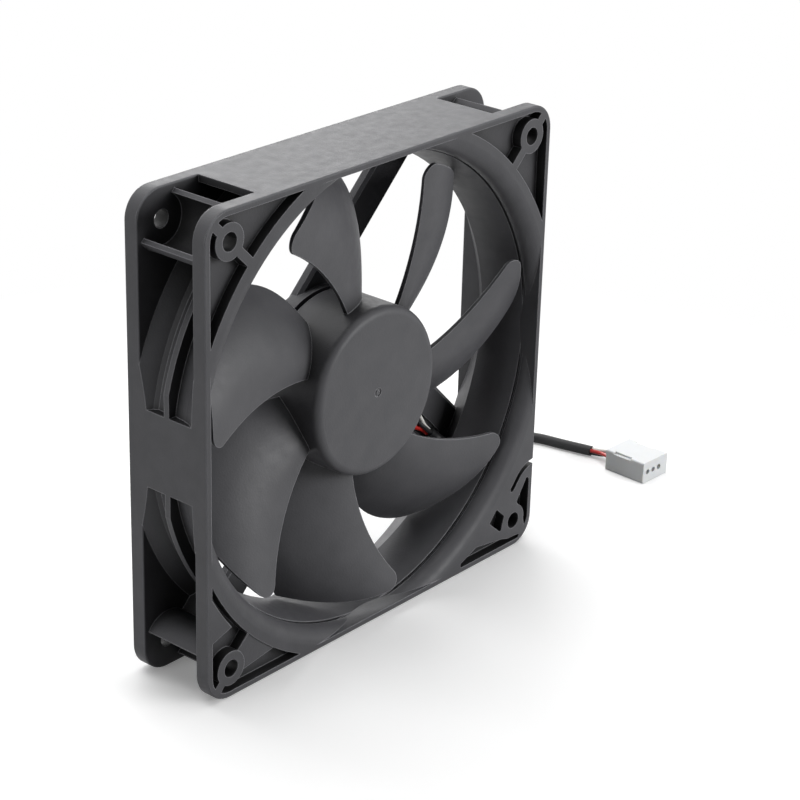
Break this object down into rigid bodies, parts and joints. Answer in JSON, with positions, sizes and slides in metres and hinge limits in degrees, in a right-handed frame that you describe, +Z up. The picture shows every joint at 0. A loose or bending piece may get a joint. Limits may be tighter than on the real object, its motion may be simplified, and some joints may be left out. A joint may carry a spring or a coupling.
{
  "type": "axial cooling fan",
  "caption": "Square axial fan: moulded frame with screw bosses at the corners, bladed impeller on a ball-bearing motor held by rear struts, and a short sleeved lead with a plug.",
  "frame": {"origin": "centre of the bottom face, half way through the frame's depth; the fan stands on its bottom edge", "axes": "+Z up, -Y towards the air intake, +Y towards the outlet, +X to the right seen from the intake"},
  "size_m": [0.1781, 0.047, 0.12],
  "materials": {
    "frame_plastic": "fine satin, glass-filled PBT",
    "impeller_plastic": "satin PBT",
    "cap_plastic": "matte",
    "brass": "turned",
    "plated_steel": "drawn, zinc plated",
    "ferrite": "bonded ferrite",
    "bearing_steel": "ground",
    "washer_nylon": "natural nylon",
    "core_steel": "stamped laminations",
    "insulator_nylon": "natural nylon",
    "tinned_metal": "tinned",
    "board_laminate": "green solder mask",
    "chip_epoxy": "moulded epoxy",
    "ceramic_body": "fired",
    "sleeve_black": "PVC sleeve",
    "plug_nylon": "natural nylon",
    "copper": "enamelled copper wire",
    "cage_nylon": "moulded nylon",
    "wire_red": "PVC",
    "wire_black": "PVC",
    "wire_white": "PVC"
  },
  "bodies": {
    "housing": {"frame": "frame_plastic", "rear_cap": "cap_plastic", "bearing_tube": "brass", "front_bearing_outer_race": "bearing_steel", "rear_bearing_outer_race": "bearing_steel", "stator_core": "core_steel", "front_insulator": "insulator_nylon", "rear_insulator": "insulator_nylon", "coil_1": "copper", "coil_2": "copper", "coil_3": "copper", "coil_4": "copper", "winding_pins": "tinned_metal", "circuit_board": "board_laminate", "hall_sensor": "chip_epoxy", "driver_chip": "chip_epoxy", "capacitor": "ceramic_body", "diode": "chip_epoxy", "red_wire": "wire_red", "black_wire": "wire_black", "white_wire": "wire_white", "sleeve_in_frame": "sleeve_black", "lead_sleeve": "sleeve_black", "red_tail": "wire_red", "black_tail": "wire_black", "white_tail": "wire_white", "plug_housing": "plug_nylon", "crimp_terminals": "tinned_metal"},
    "rotor": {"impeller": "impeller_plastic", "rotor_yoke": "plated_steel", "ring_magnet": "ferrite", "shaft": "bearing_steel", "shaft_bush": "brass", "preload_spring": "bearing_steel", "front_bearing_inner_race": "bearing_steel", "rear_bearing_inner_race": "bearing_steel", "thrust_washer": "washer_nylon", "retaining_clip": "bearing_steel"},
    "front_bearing_set": {"front_bearing_cage": "cage_nylon", "front_bearing_balls": "bearing_steel"},
    "rear_bearing_set": {"rear_bearing_cage": "cage_nylon", "rear_bearing_balls": "bearing_steel"}
  },
  "joints": [
    {"name": "rotor_spin", "type": "hinge", "parent": "housing", "child": "rotor", "pos_m": [0, 0, 0.06], "axis": [0, 1, 0], "continuous": true},
    {"name": "front_bearing_roll", "type": "hinge", "parent": "housing", "child": "front_bearing_set", "pos_m": [0, -0.0011, 0.06], "axis": [0, 1, 0], "continuous": true},
    {"name": "rear_bearing_roll", "type": "hinge", "parent": "housing", "child": "rear_bearing_set", "pos_m": [0, 0.0069, 0.06], "axis": [0, 1, 0], "continuous": true}
  ],
  "couplings": [
    {"joint": "front_bearing_roll", "follows": "rotor_spin", "ratio": 0.3636},
    {"joint": "rear_bearing_roll", "follows": "rotor_spin", "ratio": 0.3636}
  ]
}
